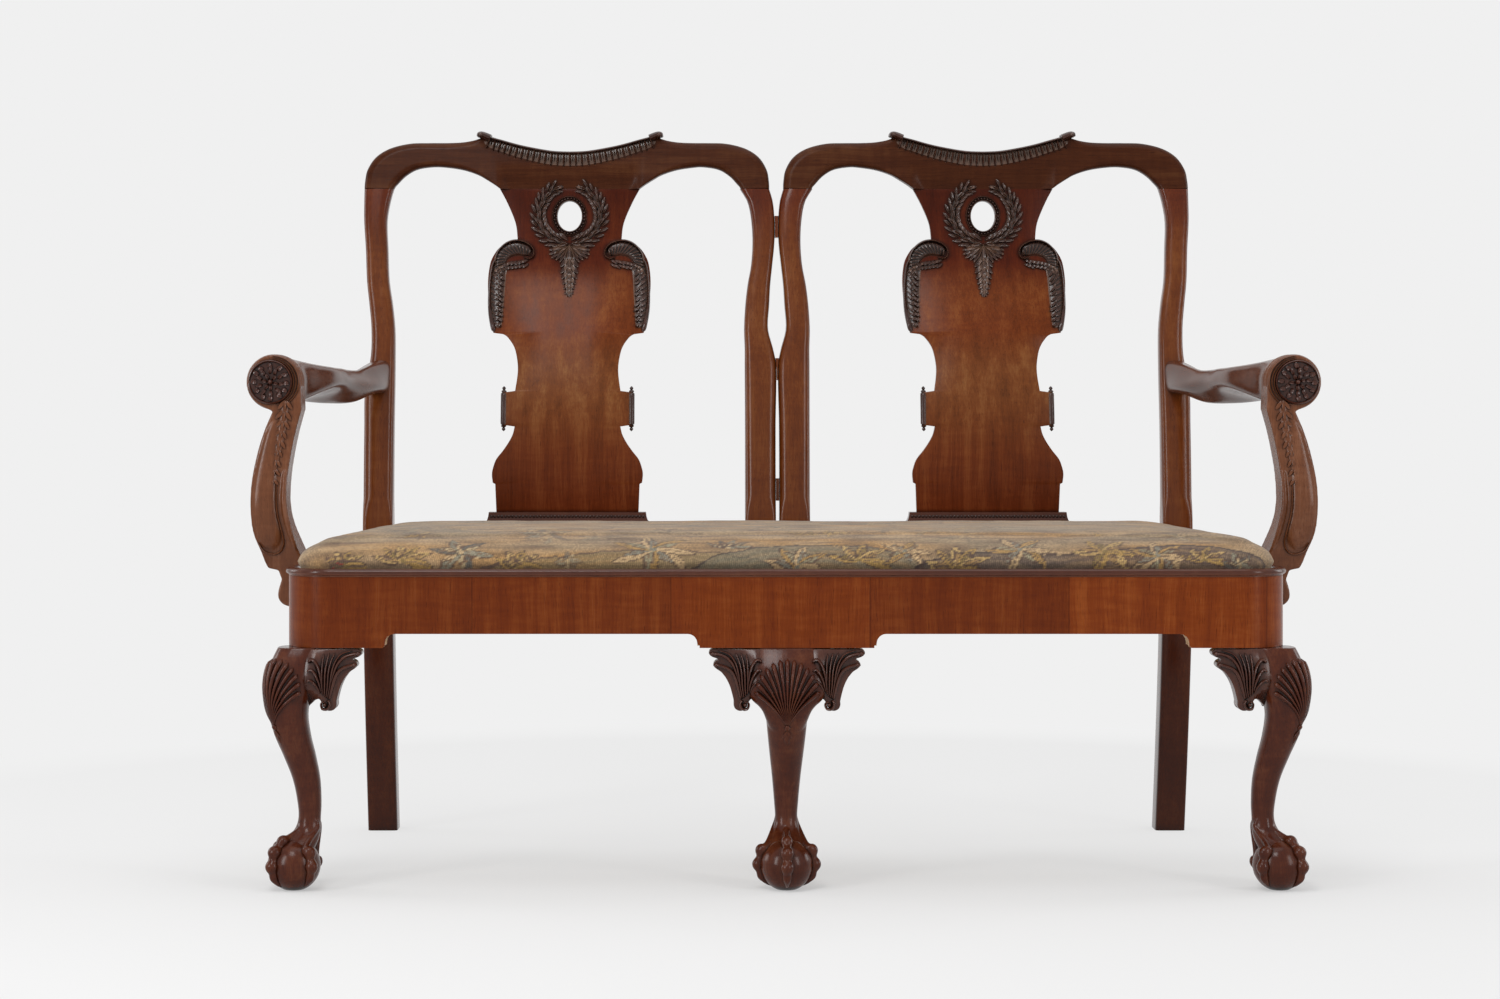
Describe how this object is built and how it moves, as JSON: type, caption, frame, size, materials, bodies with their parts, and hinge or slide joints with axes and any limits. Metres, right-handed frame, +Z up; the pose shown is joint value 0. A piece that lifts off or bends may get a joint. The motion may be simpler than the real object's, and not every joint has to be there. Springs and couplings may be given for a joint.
{
  "type": "chair-back settee",
  "caption": "Open-backed wooden settee with joined splat chair backs, scrolled arms, cabriole front legs on ball feet and a drop-in upholstered seat.",
  "frame": {"origin": "on the floor, centred on the settee's width and depth", "axes": "+X along the width, to the right seen from the front; +Y to the rear; +Z up"},
  "size_m": [1.446, 0.6454, 1.0357],
  "materials": {
    "mahogany": "polished mahogany, reddish brown",
    "walnut_veneer": "cross-grain walnut veneer, polished",
    "splat_veneer": "vertical grain walnut, satin polish",
    "dark_carving": "carved mahogany, dark in the hollows",
    "beech": "unfinished beech",
    "steel_screws": "plain steel screw",
    "jute": "jute webbing",
    "horsehair": "curled hair stuffing",
    "needlework": "wool needlework on canvas"
  },
  "bodies": {
    "frame": {"arm_left": "mahogany", "arm_right": "mahogany", "arm_screw_left": "steel_screws", "arm_screw_right": "steel_screws", "arm_support_left": "mahogany", "arm_support_right": "mahogany", "centre_seat_brace": "beech", "crest_rail_left": "mahogany", "crest_rail_right": "mahogany", "front_corner_block_left": "beech", "front_corner_block_right": "beech", "front_leg_centre": "mahogany", "front_leg_left": "mahogany", "front_leg_right": "mahogany", "front_rail": "beech", "front_rail_veneer": "walnut_veneer", "inner_post_left": "mahogany", "inner_post_right": "mahogany", "knee_bracket_centre_left": "dark_carving", "knee_bracket_centre_right": "dark_carving", "knee_bracket_front_left": "dark_carving", "knee_bracket_front_right": "dark_carving", "knee_bracket_side_left": "dark_carving", "knee_bracket_side_right": "dark_carving", "lip_moulding_front": "dark_carving", "lip_moulding_left": "dark_carving", "lip_moulding_right": "dark_carving", "outer_post_left": "mahogany", "outer_post_right": "mahogany", "post_spacer_lower": "mahogany", "post_spacer_middle": "mahogany", "post_spacer_upper": "mahogany", "rear_corner_block_left": "beech", "rear_corner_block_right": "beech", "rear_rail": "beech", "shoe_left": "mahogany", "shoe_right": "mahogany", "side_rail_left": "beech", "side_rail_right": "beech", "side_rail_veneer_left": "walnut_veneer", "side_rail_veneer_right": "walnut_veneer", "splat_left": "splat_veneer", "splat_right": "splat_veneer", "support_screw_left_front": "steel_screws", "support_screw_left_rear": "steel_screws", "support_screw_right_front": "steel_screws", "support_screw_right_rear": "steel_screws"},
    "slip_seat": {"seat_cover": "needlework", "seat_frame_front": "beech", "seat_frame_left": "beech", "seat_frame_middle": "beech", "seat_frame_rear": "beech", "seat_frame_right": "beech", "seat_stuffing": "horsehair", "seat_webbing": "jute"}
  },
  "joints": [
    {"name": "seat_lift", "type": "slide", "parent": "frame", "child": "slip_seat", "axis": [0, 0, 1], "range_m": [0, 0.2]}
  ]
}
